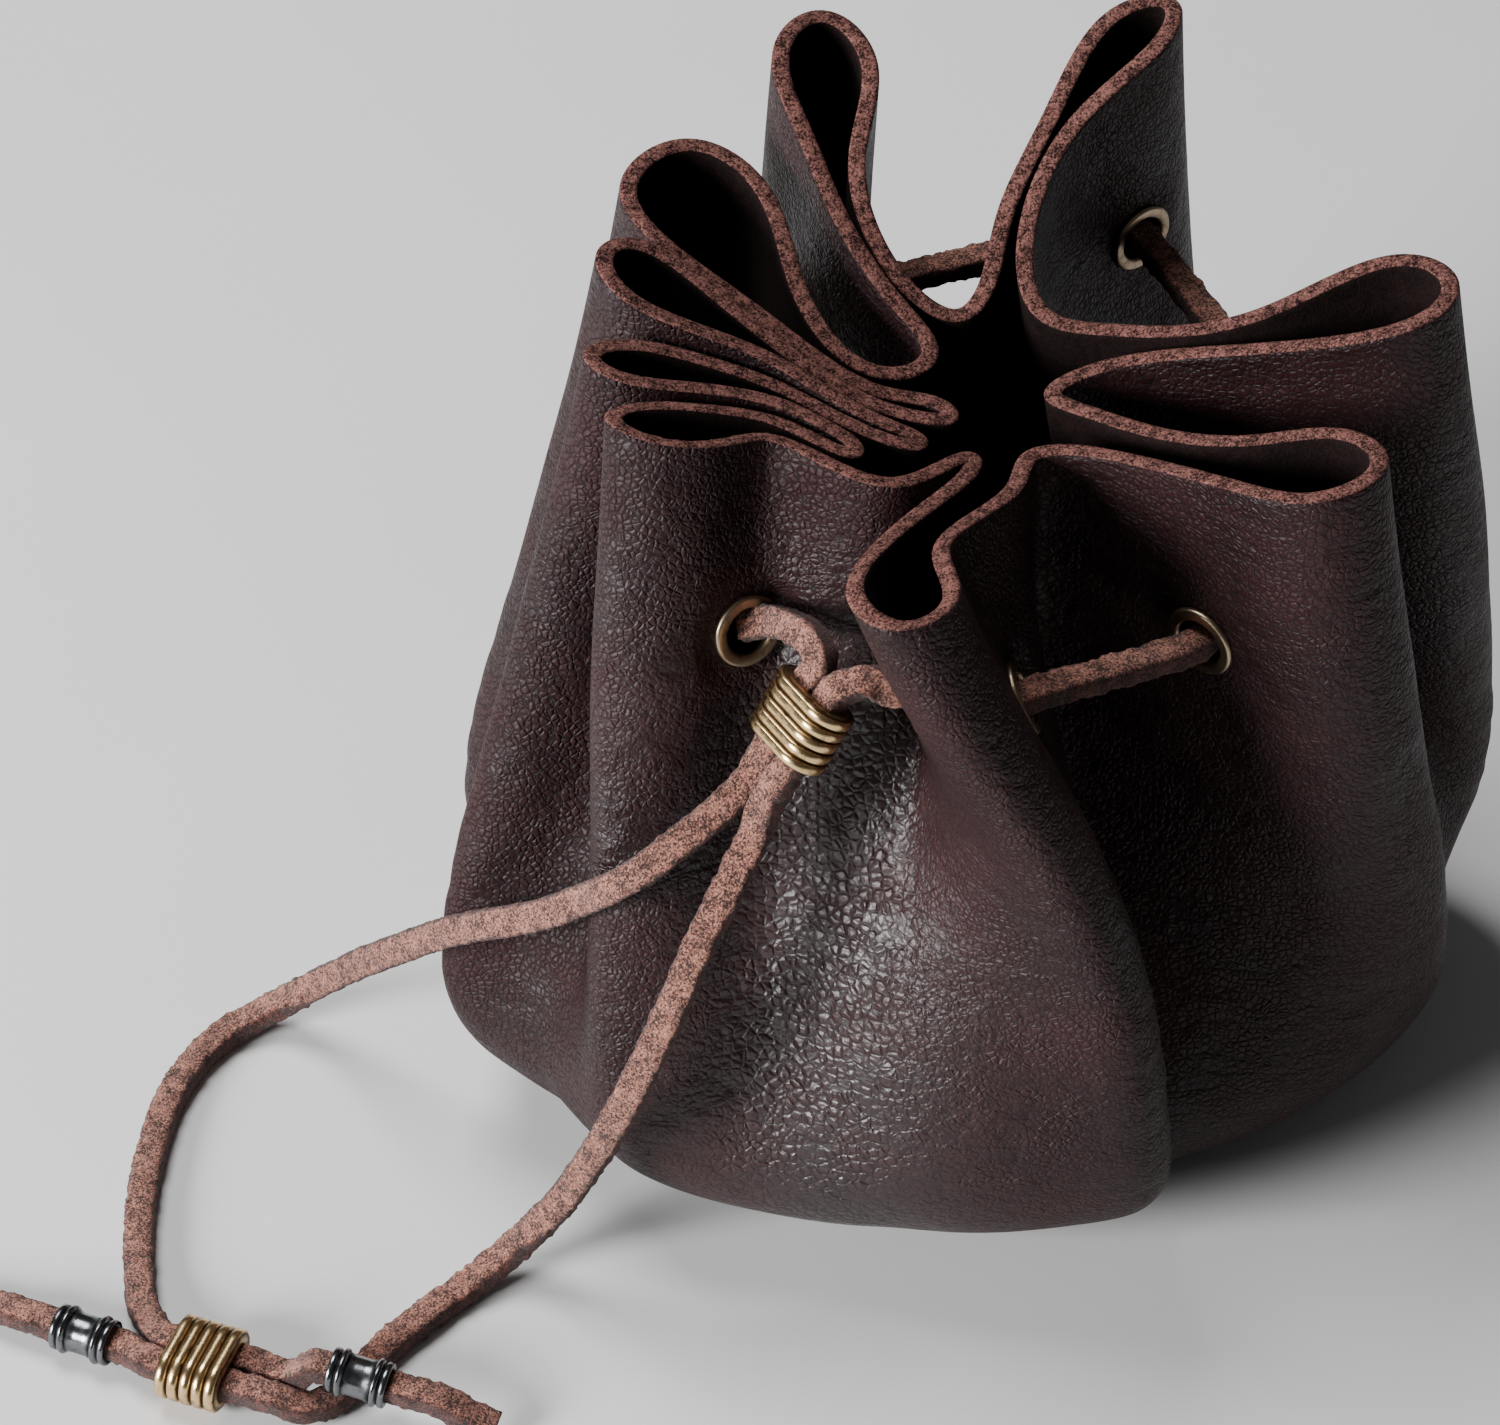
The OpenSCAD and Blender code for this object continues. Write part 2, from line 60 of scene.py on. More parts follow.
# Each lobe: tip height, base azimuths and radius factors of valley and ridge, swing, push of its valley,
# rim outline from the valley round the tip
LOBES = [
    (103, (-100, -67), (0.84, 0.86), 0, 0,
     [(-3.5, -10.5), (-3.5, -15), (-8, -21.5), (-13.5, -29.5), (-19, -41),
      (-13, -48.5), (-5, -41.5), (-9.5, -31.5), (-4, -24.5), (1.5, -18.5)]),
    (107, (-55, -20), (0.8, 0.95), 0, -12,
     [(1.5, -11), (7.5, -10.5), (15, -16.5), (24, -25), (31, -32),
      (41, -26), (36, -16.5), (26, -17), (16.5, -11.5), (9, -4)]),
    (111, (-2, 14), (0.97, 1.05), 0, 0,
     [(3.5, -1.5), (10, 3.5), (18, 2.5), (30, -3), (44, -8),
      (50.5, 0), (43, 8), (29, 2.5), (19, 5), (12, 8.5)]),
    (114, (34, 58), (0.92, 0.96), 0, 0,
     [(5, 10.5), (2.5, 16), (3.5, 24.5), (9, 34), (20, 40),
      (22, 49), (12, 46), (6.5, 33.5), (0.5, 24), (-0.5, 16)]),
    (114, (79, 100), (0.92, 0.96), 0, 0,
     [(-4, 10), (-10.5, 13), (-15.5, 20.5), (-16.5, 29), (-12.5, 39),
      (-19.5, 48), (-26.5, 38), (-21.5, 29), (-18.5, 20.5), (-12.5, 12)]),
    (107, (119, 138), (0.93, 0.96), 0, 0,
     [(-6, 6), (-11, 1), (-18, 1.7), (-23.5, 12), (-25, 26), (-35, 33),
      (-44, 22.5), (-38.5, 13.8), (-28, 7.5), (-20.5, 1.2), (-13.5, -2.5), (-7, -1.8)]),
    (109, (155, 171), (0.94, 0.96), 0, 0,
     [(-4.5, -6.6), (-13.5, -5.3), (-20, -2), (-25.5, 1.6), (-32.5, 7.3), (-40, 12.5),
      (-45.5, 8), (-42, 0.8), (-33, -0.1), (-25.5, -1), (-20, -4.4), (-14, -7.7), (-9, -8.7)]),
    (106, (186, 200), (0.97, 1.04), 0, 0,
     [(-9.5, -11.4), (-14, -10.4), (-20, -7.2), (-25, -4.2), (-32, -2.9), (-41, -2),
      (-47, -6), (-42, -10.2), (-33, -7.6), (-25, -6.9), (-20, -9.8), (-16.5, -12.1)]),
    (105, (211, 227), (0.96, 0.95), 0.4, 0,
     [(-16.3, -15.3), (-20.5, -12.9), (-25.5, -9.8), (-32, -10.4), (-39.5, -11.8), (-44.5, -15.5),
      (-38.5, -19), (-31.5, -17.5), (-26.5, -12.7), (-21.5, -15.6), (-13.5, -21.5), (-8, -16)]),
]
# Each level: valley height, share of tip height, rim scale, share of base form, its radius, swing, push
LEVELS = [
    (LEATHER_T / 2, 0, 1, 1, 33, 0, 0),
    (LEATHER_T / 2 + 0.8, 0, 1, 1, 45, 0, 0),
    (7, 0, 1, 1, 56, 32, 0.1),
    (18, 0, 1.1, 0.95, 63, 32, 0.4),
    (31, 0.02, 1.15, 0.82, 64.5, 32, 0.8),
    (45, 0.1, 1.18, 0.58, 63, 30, 1),
    (58, 0.25, 1.15, 0.32, 62, 26, 0.9),
    (71, 0.5, 1.12, 0.12, 61, 20, 0.45),
    (84, 0.8, 1.05, 0.03, 60, 11, 0.12),
    (96, 1, 1, 0, 60, 0, 0),
]
# The front of the bag on levels 3 to 8: right flank of the left roll, belly, front roll, crease beside it
FRONT_BEFORE = 6  # points that belong to the last lobe
FRONT = {
    3: [(-39.4, -45.3), (-34.8, -46), (-30, -46), (-25.5, -47), (-20.5, -49), (-16, -50.3),
        (-11.5, -51.3), (-7.5, -52), (-3, -52.2), (2.5, -51.8), (10, -51.2),
        (17.5, -51.5), (21, -47.5), (18.5, -43.5), (17.5, -40), (18.5, -37)],
    4: [(-40.1, -43.5), (-35.2, -43.3), (-30.3, -41), (-25.3, -41), (-20.3, -44), (-15.8, -47.2),
        (-11.5, -49.5), (-7.5, -51), (-3, -51.6), (2.5, -51.6), (9.3, -51.8),
        (16.5, -53), (19.5, -47.5), (15.5, -42), (13, -36), (13, -30)],
    5: [(-40, -38.5), (-35, -37.3), (-30, -33.5), (-25, -32.5), (-20, -36), (-15.8, -40.2),
        (-11.8, -43.5), (-8, -46), (-3.8, -47.8), (1, -49), (7.5, -50.5),
        (14.5, -53), (17.5, -46), (13, -39), (10.5, -32.5), (10, -26.5)],
    6: [(-39.7, -33.5), (-34.2, -31.3), (-29.3, -27.3), (-24.3, -26.7), (-18.5, -29.5), (-13.5, -31.5),
        (-10.3, -34), (-8.3, -38), (-5.5, -41.5), (-2, -45), (4, -48.5),
        (10.5, -52), (13.5, -44.5), (9, -36.5), (7.5, -29.5), (7.5, -23)],
    7: [(-39.9, -28.6), (-34, -27.3), (-29.3, -22.3), (-24.8, -20.8), (-17, -24), (-11.3, -22.8),
        (-7.6, -20), (-7, -25), (-7.8, -31), (-7.5, -38.5), (-3.5, -45.5),
        (3, -50.5), (7.5, -43), (2.5, -34), (3.5, -26.5), (4.5, -20)],
    8: [(-38.9, -23.4), (-33, -22), (-28.3, -17), (-23, -17.2), (-15.2, -22.3), (-9, -17.7),
        (-3.8, -12), (-4.3, -17), (-8.5, -23.5), (-12, -32), (-13, -43),
        (-7, -50.5), (0, -43), (-5, -33), (-1, -25.5), (2.5, -19)],
}
BASE_CENTRE_X = -3.0
VALLEY_RADIUS = 12.0
LOBE_REACH = 34.0
EYELET_LEVEL = 7.4
FIRST_FLANK = [2.3, 2.5, 3, 3.5, 3, 3, 3.5, 3.2, 3]
SECOND_FLANK = [2.8, 3, 3, 3, 3, 4, 4, 3.8, 4]

# Bead places: centre, axis, direction of the wide side
SLIDER_AT = ((-22.4, -32.9, 76.4), (-0.48, -0.27, -0.84), (-0.56, 0.82, 0.06))
LOOP_AT = ((-90.7, -63.5, 3.6), (0.94, -0.34, 0), (0.34, 0.94, 0))
STOP_LEFT_AT = ((-104.5, -59, 3.2), (-0.92, 0.38, 0), (0.38, 0.92, 0))
STOP_RIGHT_AT = ((-72.3, -67.5, 6), (0.96, -0.26, -0.11), (0.26, 0.96, 0))


# ---- small mathematics ----
def unit(v):
    v = np.asarray(v, float)
    return v / np.linalg.norm(v, axis=-1, keepdims=True)


def basis(axis, side):
    """Rows: wide, through and along directions of a piece that points along axis."""
    along = unit(axis)
    wide = unit(np.asarray(side, float) - np.dot(side, along) * along)
    return np.array([wide, np.cross(along, wide), along])


def through_bead(at, side, distances):
    wide, _, along = basis(at[1], at[2])
    offset = side * (LACE_W + LACE_GAP) / 2 * wide
    return [tuple(np.array(at[0]) + offset + d * along) for d in distances]


def spline_weights(t):
    t = np.asarray(t, float)
    return np.stack([
        (1 - t) ** 3 / 6,
        (3 * t**3 - 6 * t**2 + 4) / 6,
        (-3 * t**3 + 3 * t**2 + 3 * t + 1) / 6,
        t**3 / 6,
    ], -1)


def closed_spline(points, u):
    """Points of a closed cubic spline at u; points is (control, 3)."""
    n = len(points)
    i = np.floor(u).astype(int)
    w = spline_weights(u - i)
    return sum(w[:, k, None] * points[(i + k - 1) % n] for k in range(4))


def open_spline(rows, v):
    """Rows of an open cubic spline at v; its ends pass through the end rows."""
    rows = np.concatenate([2 * rows[:1] - rows[1:2], rows, 2 * rows[-1:] - rows[-2:-1]])
    i = np.minimum(np.floor(v).astype(int), len(rows) - 4)
    w = spline_weights(v - i)
    return sum(w[:, k, None, None] * rows[i + k] for k in range(4))


def lattice_noise(p, seed=0):
    """Smooth noise from -1 to 1 at the points p."""
    p = np.asarray(p, float)
    cell = np.floor(p).astype(np.int64)
    f = p - cell
    f = f * f * (3 - 2 * f)

    def value(dx, dy, dz):
        c = cell + np.array([dx, dy, dz])
        h = c[..., 0] * 374761393 + c[..., 1] * 668265263 + c[..., 2] * 2147483647 + seed * 1274126177
        h = (h ^ (h >> 13)) * 1274126177
        h = h ^ (h >> 16)
        return (h & 0xFFFF) / 32767.5 - 1

    total = 0
    for dx in (0, 1):
        for dy in (0, 1):
            for dz in (0, 1):
                w = np.abs(1 - dx - f[..., 0]) * np.abs(1 - dy - f[..., 1]) * np.abs(1 - dz - f[..., 2])
                total = total + w * value(dx, dy, dz)
    return total


def fractal(p, size, octaves=3, seed=0):
    """Noise whose largest features are about size millimetres."""
    total, scale, weight = 0, 1 / size, 1.0
    for k in range(octaves):
        total = total + weight * lattice_noise(np.asarray(p) * scale, seed + k)
        scale, weight = scale * 2.03, weight * 0.5
    return total


def bump_shape(x, centre, width):
    """Smooth hill from 0 to 1 round a centre."""
    return np.exp(-(((x - centre) / width) ** 2))


# ---- meshes ----
def mesh_object(name, points, faces, body, cad_nodes=(), smooth=True):
    """A mesh piece in metres that rides on a body and stands for the CAD nodes."""
    data = bpy.data.meshes.new(name)
    data.from_pydata((np.asarray(points) * MM).tolist(), [], faces)
    data.update()
    if smooth:
        data.shade_smooth()
    piece = bpy.data.objects.new(name, data)
    bpy.context.collection.objects.link(piece)
    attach(piece, body)
    if cad_nodes:
        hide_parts(*cad_nodes)
    return piece


def add_weights(piece, name, values):
    layer = piece.data.attributes.new(name, "FLOAT", "POINT")
    layer.data.foreach_set("value", np.asarray(values, np.float32).ravel())


def grid_faces(rows, columns, start=0, flip=False):
    faces = []
    for r in range(rows - 1):
        a = start + r * columns
        for c in range(columns):
            d = (c + 1) % columns
            quad = (a + c, a + d, a + columns + d, a + columns + c)
            faces.append(quad[::-1] if flip else quad)
    return faces


# ---- camera ----
ELEVATION = math.radians(44)
CAMERA_DISTANCE = 600
LOOK_AT = (-28, 0, 45.8)


def make_camera():
    data = bpy.data.cameras.new("camera")
    data.lens = 122.4
    data.sensor_width = 36
    data.clip_start = 0.01
    data.clip_end = 20
    camera = bpy.data.objects.new("camera", data)
    bpy.context.collection.objects.link(camera)
    back = Vector((0, -math.cos(ELEVATION), math.sin(ELEVATION)))
    camera.location = (Vector(LOOK_AT) + back * CAMERA_DISTANCE) * MM
    camera.rotation_euler = (math.pi / 2 - ELEVATION, 0, 0)
    bpy.context.scene.camera = camera


make_camera()


# ---- the gathered sheet ----
def control_net():
    rows = []
    for level, numbers in enumerate(LEVELS):
        height, rise, scale, base_share, base_radius, swing_angle, push_weight = numbers
        row = []
        for i, (tip_z, azimuths, factors, swing, push, outline) in enumerate(LOBES):
            after = LOBES[(i + 1) % len(LOBES)]
            reach_list = [math.hypot(x, y) for x, y in outline]
            tip = int(np.argmax(reach_list))
            next_valley = after[1][0] + (360 if after[1][0] < azimuths[1] else 0)
            for j, (x, y) in enumerate(outline):
                rising = j <= tip
                q = j / tip if rising else (len(outline) - j) / (len(outline) - tip)
                valley_a = azimuths[0] if rising else next_valley
                valley_f = factors[0] if rising else after[2][0]
                shove = (push if rising else after[4]) * push_weight * (1 - q) ** 2
                a = math.radians(valley_a + (azimuths[1] - valley_a) * q)
                factor = valley_f + (factors[1] - valley_f) * q
                reach = min(1, max(0, (reach_list[j] - VALLEY_RADIUS) / LOBE_REACH))
                turn = math.radians(swing * swing_angle * reach)
                gathered = np.array([
                    x * math.cos(turn) - y * math.sin(turn),
                    x * math.sin(turn) + y * math.cos(turn),
                ])
                ray = np.array([math.cos(a), math.sin(a)])
                round_base = np.array([BASE_CENTRE_X, 0]) + base_radius * factor * ray
                v = math.radians(valley_a)
                plan = (1 - base_share) * scale * gathered + base_share * round_base
                plan = plan + shove * np.array([math.cos(v), math.sin(v)])
                row.append((plan[0], plan[1], height + rise * reach * (tip_z - LEVELS[-1][0])))
        for k, (x, y) in enumerate(FRONT.get(level, [])):
            row[k - FRONT_BEFORE] = (x, y, row[k - FRONT_BEFORE][2])
        rows.append(row)
    return np.array(rows)


CONTROL = control_net()
AROUND = CONTROL.shape[1]
LOBE_START = np.cumsum([0] + [len(lobe[5]) for lobe in LOBES])[:-1]
TOP = len(LEVELS) - 1


def sheet_points(u, v):
    """Middle of the sheet on the grid of u round the mouth and v up the side: (v, u, 3)."""
    rows = open_spline(CONTROL, np.asarray(v, float))
    return np.stack([closed_spline(row, np.asarray(u, float)) for row in rows])


def sheet_at(u, v):
    return sheet_points([u], [v])[0, 0]


def sheet_normal(u, v, d=0.05):
    across = sheet_at(u + d, v) - sheet_at(u - d, v)
    up = sheet_at(u, v + d) - sheet_at(u, v - d)
    return unit(np.cross(across, up))


def grid_normals(points):
    up = np.gradient(points, axis=0)
    across = np.roll(points, -1, 1) - np.roll(points, 1, 1)
    return unit(np.cross(across, up))


def eyelet_u(k):
    i, second = divmod(k, 2)
    if second:
        return LOBE_START[i] + len(LOBES[i][5]) - SECOND_FLANK[i]
    return LOBE_START[i] + FIRST_FLANK[i]


EYELETS = 2 * len(LOBES)
EYELET_PLACES = [sheet_at(eyelet_u(k), EYELET_LEVEL) for k in range(EYELETS)]
EYELET_AXES = [sheet_normal(eyelet_u(k), EYELET_LEVEL) for k in range(EYELETS)]

# How finely the sheet is meshed, and how it lies under an eyelet: its hole, the band of points that is
# rounded to the hole, the radius that stays flat and the width over which the flat fades out
COLUMNS_PER_POINT = 12
ROWS_PER_LEVEL = 16
BASE_RINGS = 10
HOLE_R = 3.1
ROUNDED_IN = 0.5
ROUNDED_OUT = 0.45
FLAT_R = 4.9
FLAT_FADE = 2.6
EDGE_STEPS = 6


def leather_relief(points, v):
    """Height of the sheet's soft folds and ripples along its normal, in millimetres."""
    side = np.clip((v - 1.5) / 2, 0, 1)[:, None]
    calm_top = np.clip((8.6 - v) / 1.2, 0, 1)[:, None]
    soft = 0.5 * fractal(points, 26, 2, 3) * side * calm_top
    ripple = 0.16 * fractal(points * np.array([0.45, 0.45, 1.7]), 5.5, 2, 11) * side * calm_top
    return soft + ripple


def seat_eyelets(middle, first_row, axes):
    """Flattens the sheet under each eyelet and rounds off a hole; gives the points inside the holes."""
    inside = np.zeros(middle.shape[:2], bool)
    rows, columns = np.indices(inside.shape)
    for k in range(EYELETS):
        centre, axis = EYELET_PLACES[k], EYELET_AXES[k]
        turn = columns / COLUMNS_PER_POINT - eyelet_u(k)
        turn = np.abs((turn + AROUND / 2) % AROUND - AROUND / 2)
        near = (turn < 2.2) & (rows > first_row) & (np.linalg.norm(middle - centre, axis=-1) < 9)
        offset = middle[near] - centre
        height = offset @ axis
        flat = offset - height[:, None] * axis
        r = np.maximum(np.linalg.norm(flat, axis=1), 1e-6)
        share = np.clip((r - FLAT_R) / FLAT_FADE, 0, 1)
        share = 1 - share * share * (3 - 2 * share)
        new_r = np.where((r > HOLE_R - ROUNDED_IN) & (r < HOLE_R + ROUNDED_OUT), HOLE_R, r)
        middle[near] = centre + flat * (new_r / r)[:, None] + (height * (1 - share))[:, None] * axis
        axes[near] = unit(axes[near] * (1 - share[:, None]) + axis * share[:, None])
        inside[near] |= r <= HOLE_R - ROUNDED_IN
    return inside


def make_leather():
    u = np.arange(AROUND * COLUMNS_PER_POINT) / COLUMNS_PER_POINT
    v = np.arange(TOP * ROWS_PER_LEVEL + 1) / ROWS_PER_LEVEL
    side = sheet_points(u, v)
    hub = np.array([BASE_CENTRE_X, 0, LEATHER_T / 2])
    base = np.stack([hub + (side[0] - hub) * k / BASE_RINGS for k in range(1, BASE_RINGS)])
    middle = np.concatenate([base, side])
    normals = grid_normals(middle)
    normals[: BASE_RINGS] = (0, 0, -1)
    level = np.concatenate([np.zeros(len(base)), v])
    relief = leather_relief(middle, level)
    room = np.clip((EYELET_LEVEL - 1.2 - level) / 1.5, 0.12, 1)[:, None]
    middle = middle + normals * (relief * room)[..., None]
    normals = grid_normals(middle)
    normals[: BASE_RINGS] = (0, 0, -1)
    inside = seat_eyelets(middle, BASE_RINGS, normals)

    count = len(u)
    rows = len(middle)
    half = LEATHER_T / 2
    outer = middle + normals * half
    inner = middle - normals * half
    # raw cut edge: a flat band with soft, slightly ragged corners
    up = unit(middle[-1] - middle[-2])
    edge = []
    for k in range(1, EDGE_STEPS):
        s = 1 - 2 * k / EDGE_STEPS
        swell = 0.18 * (1 - s**4)
        ragged = 0.1 * fractal(middle[-1] + s * 3, 0.7, 2, 31 + k)
        edge.append(middle[-1] + normals[-1] * half * s + up * (swell + ragged)[..., None])
    points = np.concatenate([
        outer.reshape(-1, 3), inner.reshape(-1, 3), np.array(edge).reshape(-1, 3),
        [hub - (0, 0, half), hub + (0, 0, half)],
    ])
    first_inner = rows * count
    first_edge = 2 * rows * count
    hub_index = first_edge + (EDGE_STEPS - 1) * count
    flat_inside = inside.ravel()
    faces, cut = [], []
    for face in grid_faces(rows, count):
        (cut if any(flat_inside[i] for i in face) else faces).append(face)
    outer_faces = len(faces)
    faces += [tuple(first_inner + i for i in face[::-1]) for face in faces]
    inner_faces = len(faces)
    sides = {(a, b) for face in cut for a, b in zip(face, face[1:] + face[:1])}
    faces += [(a, b, first_inner + b, first_inner + a) for a, b in sorted(sides) if (b, a) not in sides]
    chain = [rows - 1] + [2 * rows + k for k in range(EDGE_STEPS - 1)] + [2 * rows - 1]
    for a, b in zip(chain, chain[1:]):
        for c in range(count):
            d = (c + 1) % count
            faces.append((a * count + c, a * count + d, b * count + d, b * count + c))
    edge_faces = len(faces)
    faces += [(hub_index, (c + 1) % count, c) for c in range(count)]
    inner_hub = len(faces)
    faces += [(hub_index + 1, first_inner + c, first_inner + (c + 1) % count) for c in range(count)]
    used = np.unique(np.concatenate([np.array(face) for face in faces]))
    place = np.zeros(len(points), int)
    place[used] = np.arange(len(used))
    faces = [tuple(int(place[i]) for i in face) for face in faces]
    piece = mesh_object("pouch_sheet", points[used], faces, "pouch", ["pouch_leather"])
    piece.data.materials.append(leather_material())
    flesh = flesh_material("leather_flesh", (0.006, 0.0028, 0.0028), (0.018, 0.008, 0.0075))
    raw_edge = flesh_material("leather_edge", (0.012, 0.004, 0.0035), (0.25, 0.108, 0.09))
    piece.data.materials.append(flesh)
    piece.data.materials.append(raw_edge)
    index = np.zeros(len(faces), int)
    index[outer_faces:inner_faces] = 1
    index[inner_faces:edge_faces] = 2
    index[inner_hub:] = 1
    piece.data.polygons.foreach_set("material_index", index)

    # the glossy, coarsely pebbled panel of the belly
    front = LOBE_START[0]
    turn = (u - front + AROUND / 2) % AROUND - AROUND / 2
    panel = bump_shape(turn, -1.9, 3.8)[None, :] * np.clip((8.6 - level) / 2, 0, 1)[:, None]
    weights = np.concatenate([panel.ravel(), panel.ravel(), np.zeros((EDGE_STEPS - 1) * count), [0, 0]])
    add_weights(piece, "coarse", weights[used])
    return piece


# ---- materials ----
class Shader:
    """Small helper that builds a node tree."""

    def __init__(self, name):
        self.material = bpy.data.materials.new(name)
        self.material.use_nodes = True
        self.tree = self.material.node_tree
        self.tree.nodes.clear()
        self.out = self.add("ShaderNodeOutputMaterial")
        self.surface = self.add("ShaderNodeBsdfPrincipled")
        self.link(self.surface.outputs["BSDF"], self.out.inputs["Surface"])
        self.place = self.add("ShaderNodeTexCoord").outputs["Object"]

    def add(self, kind, **settings):
        node = self.tree.nodes.new(kind)
        for key, value in settings.items():
            setattr(node, key, value)
        return node

    def link(self, a, b):
        self.tree.links.new(a, b)

    def value(self, socket, x):
        if hasattr(x, "is_output"):
            self.link(x, socket)
        else:
            socket.default_value = x

    def math(self, operation, a, b=0.0, clamp=False):
        node = self.add("ShaderNodeMath", operation=operation, use_clamp=clamp)
        self.value(node.inputs[0], a)
        self.value(node.inputs[1], b)
        return node.outputs[0]

    def ramp(self, source, low, high, to_low=0.0, to_high=1.0):
        node = self.add("ShaderNodeMapRange", interpolation_type="SMOOTHSTEP")
        self.value(node.inputs["Value"], source)
        for name, x in zip(("From Min", "From Max", "To Min", "To Max"), (low, high, to_low, to_high)):
            node.inputs[name].default_value = x
        return node.outputs[0]

    def mix(self, factor, a, b):
        node = self.add("ShaderNodeMix", data_type="RGBA")
        self.value(node.inputs["Factor"], factor)
        for socket, x in ((node.inputs["A"], a), (node.inputs["B"], b)):
            self.value(socket, (*x, 1) if isinstance(x, tuple) and len(x) == 3 else x)
        return node.outputs["Result"]

    def blend(self, factor, a, b):
        node = self.add("ShaderNodeMix", data_type="FLOAT")
        self.value(node.inputs["Factor"], factor)
        self.value(node.inputs["A"], a)
        self.value(node.inputs["B"], b)
        return node.outputs["Result"]

    def noise(self, size_mm, detail=3.0, roughness=0.55, place=None, distortion=0.0):
        node = self.add("ShaderNodeTexNoise")
        self.link(place or self.place, node.inputs["Vector"])
        node.inputs["Scale"].default_value = 1 / (size_mm * MM)
        node.inputs["Detail"].default_value = detail
        node.inputs["Roughness"].default_value = roughness
        node.inputs["Distortion"].default_value = distortion
        return node.outputs["Fac"]

    def warped(self, size_mm, amount_mm, place=None):
        """Object coordinates pushed about by noise."""
        noise = self.add("ShaderNodeTexNoise")
        self.link(place or self.place, noise.inputs["Vector"])
        noise.inputs["Scale"].default_value = 1 / (size_mm * MM)
        centred = self.add("ShaderNodeVectorMath", operation="SUBTRACT")
        self.link(noise.outputs["Color"], centred.inputs[0])
        centred.inputs[1].default_value = (0.5, 0.5, 0.5)
        scaled = self.add("ShaderNodeVectorMath", operation="SCALE")
        self.link(centred.outputs[0], scaled.inputs[0])
        scaled.inputs["Scale"].default_value = amount_mm * MM
        total = self.add("ShaderNodeVectorMath", operation="ADD")
        self.link(place or self.place, total.inputs[0])
        self.link(scaled.outputs[0], total.inputs[1])
        return total.outputs[0]

    def cells(self, size_mm, place, feature="DISTANCE_TO_EDGE"):
        node = self.add("ShaderNodeTexVoronoi", feature=feature)
        self.link(place, node.inputs["Vector"])
        node.inputs["Scale"].default_value = 1 / (size_mm * MM)
        return node.outputs["Distance"]

    def attribute(self, name):
        return self.add("ShaderNodeAttribute", attribute_name=name).outputs["Fac"]

    def bump(self, height, depth_mm, strength=1.0, normal=None):
        node = self.add("ShaderNodeBump")
        node.inputs["Strength"].default_value = strength
        node.inputs["Distance"].default_value = depth_mm * MM
        self.link(height, node.inputs["Height"])
        if normal is not None:
            self.link(normal, node.inputs["Normal"])
        return node.outputs["Normal"]


def leather_material():
    """Dark oxblood full-grain leather: puffy pebbles parted by fine creases darkened with painted shade,
    waxy sheen on the panels.
    """
    s = Shader("pebbled_leather")
    panel = s.attribute("coarse")
    coarse_cells = s.math("POWER", s.ramp(s.cells(1.2, s.warped(1.8, 0.7)), 0.0, 0.3), 0.6)
    fine_cells = s.math("POWER", s.ramp(s.cells(0.8, s.warped(1.3, 0.5)), 0.0, 0.32), 0.6)
    pebbles = s.blend(panel, s.math("MULTIPLY", fine_cells, 0.85), coarse_cells)
    depth = s.ramp(s.noise(7, 2.0), 0.3, 0.65, 0.4, 1.0)
    relief = s.math("MULTIPLY", pebbles, depth)
    crumple = s.noise(3.2, 2.0, distortion=0.8)
    grain = s.noise(0.16, 2.0)
    patches = s.noise(14, 3.0)
    tone = s.mix(s.ramp(patches, 0.35, 0.7), (0.017, 0.0046, 0.0055), (0.031, 0.0085, 0.0098))
    # painted shade: the colour is darkened towards near black in the creases between pebbles
    crease_shade_and_roughness = s.ramp(s.blend(panel, fine_cells, coarse_cells), 0.0, 0.4, 0.8, 0.0)
    s.link(s.mix(crease_shade_and_roughness, tone, (0.0025, 0.0008, 0.0008)), s.surface.inputs["Base Color"])
    matte = s.blend(panel, s.ramp(patches, 0.3, 0.7, 0.44, 0.58), s.ramp(patches, 0.3, 0.7, 0.33, 0.42))
    # the same crease mask also makes the creases rougher
    s.link(s.math("ADD", matte, s.math("MULTIPLY", crease_shade_and_roughness, 0.25)), s.surface.inputs["Roughness"])
    squeezed = s.add("ShaderNodeMapping")
    s.link(s.place, squeezed.inputs["Vector"])
    squeezed.inputs["Scale"].default_value = (0.3, 0.3, 1.0)
    wrinkles = s.noise(1.5, 2.0, place=squeezed.outputs[0], distortion=0.4)
    folded = s.bump(crumple, 0.7, 0.6, s.bump(wrinkles, 0.6, 0.7))
    bumped = s.bump(relief, 0.2, 0.9, folded)
    s.link(s.bump(grain, 0.03, 0.6, bumped), s.surface.inputs["Normal"])
    s.link(s.blend(panel, 0.26, 0.62), s.surface.inputs["Specular IOR Level"])
    return s.material


def flesh_material(name, dark, light):
    """Napped split side or raw cut edge: short fibres, no gloss."""
    s = Shader(name)
    fibres = s.noise(0.3, 3.0, 0.7, distortion=0.5)
    clumps = s.noise(1.3, 3.0)
    mixed = s.math("ADD", s.math("MULTIPLY", fibres, 0.7), s.math("MULTIPLY", clumps, 0.3))
    s.link(s.mix(s.ramp(mixed, 0.4, 0.62), dark, light), s.surface.inputs["Base Color"])
    s.surface.inputs["Roughness"].default_value = 0.9
    s.surface.inputs["Specular IOR Level"].default_value = 0.15
    s.link(s.bump(mixed, 0.35, 1.0), s.surface.inputs["Normal"])
    return s.material


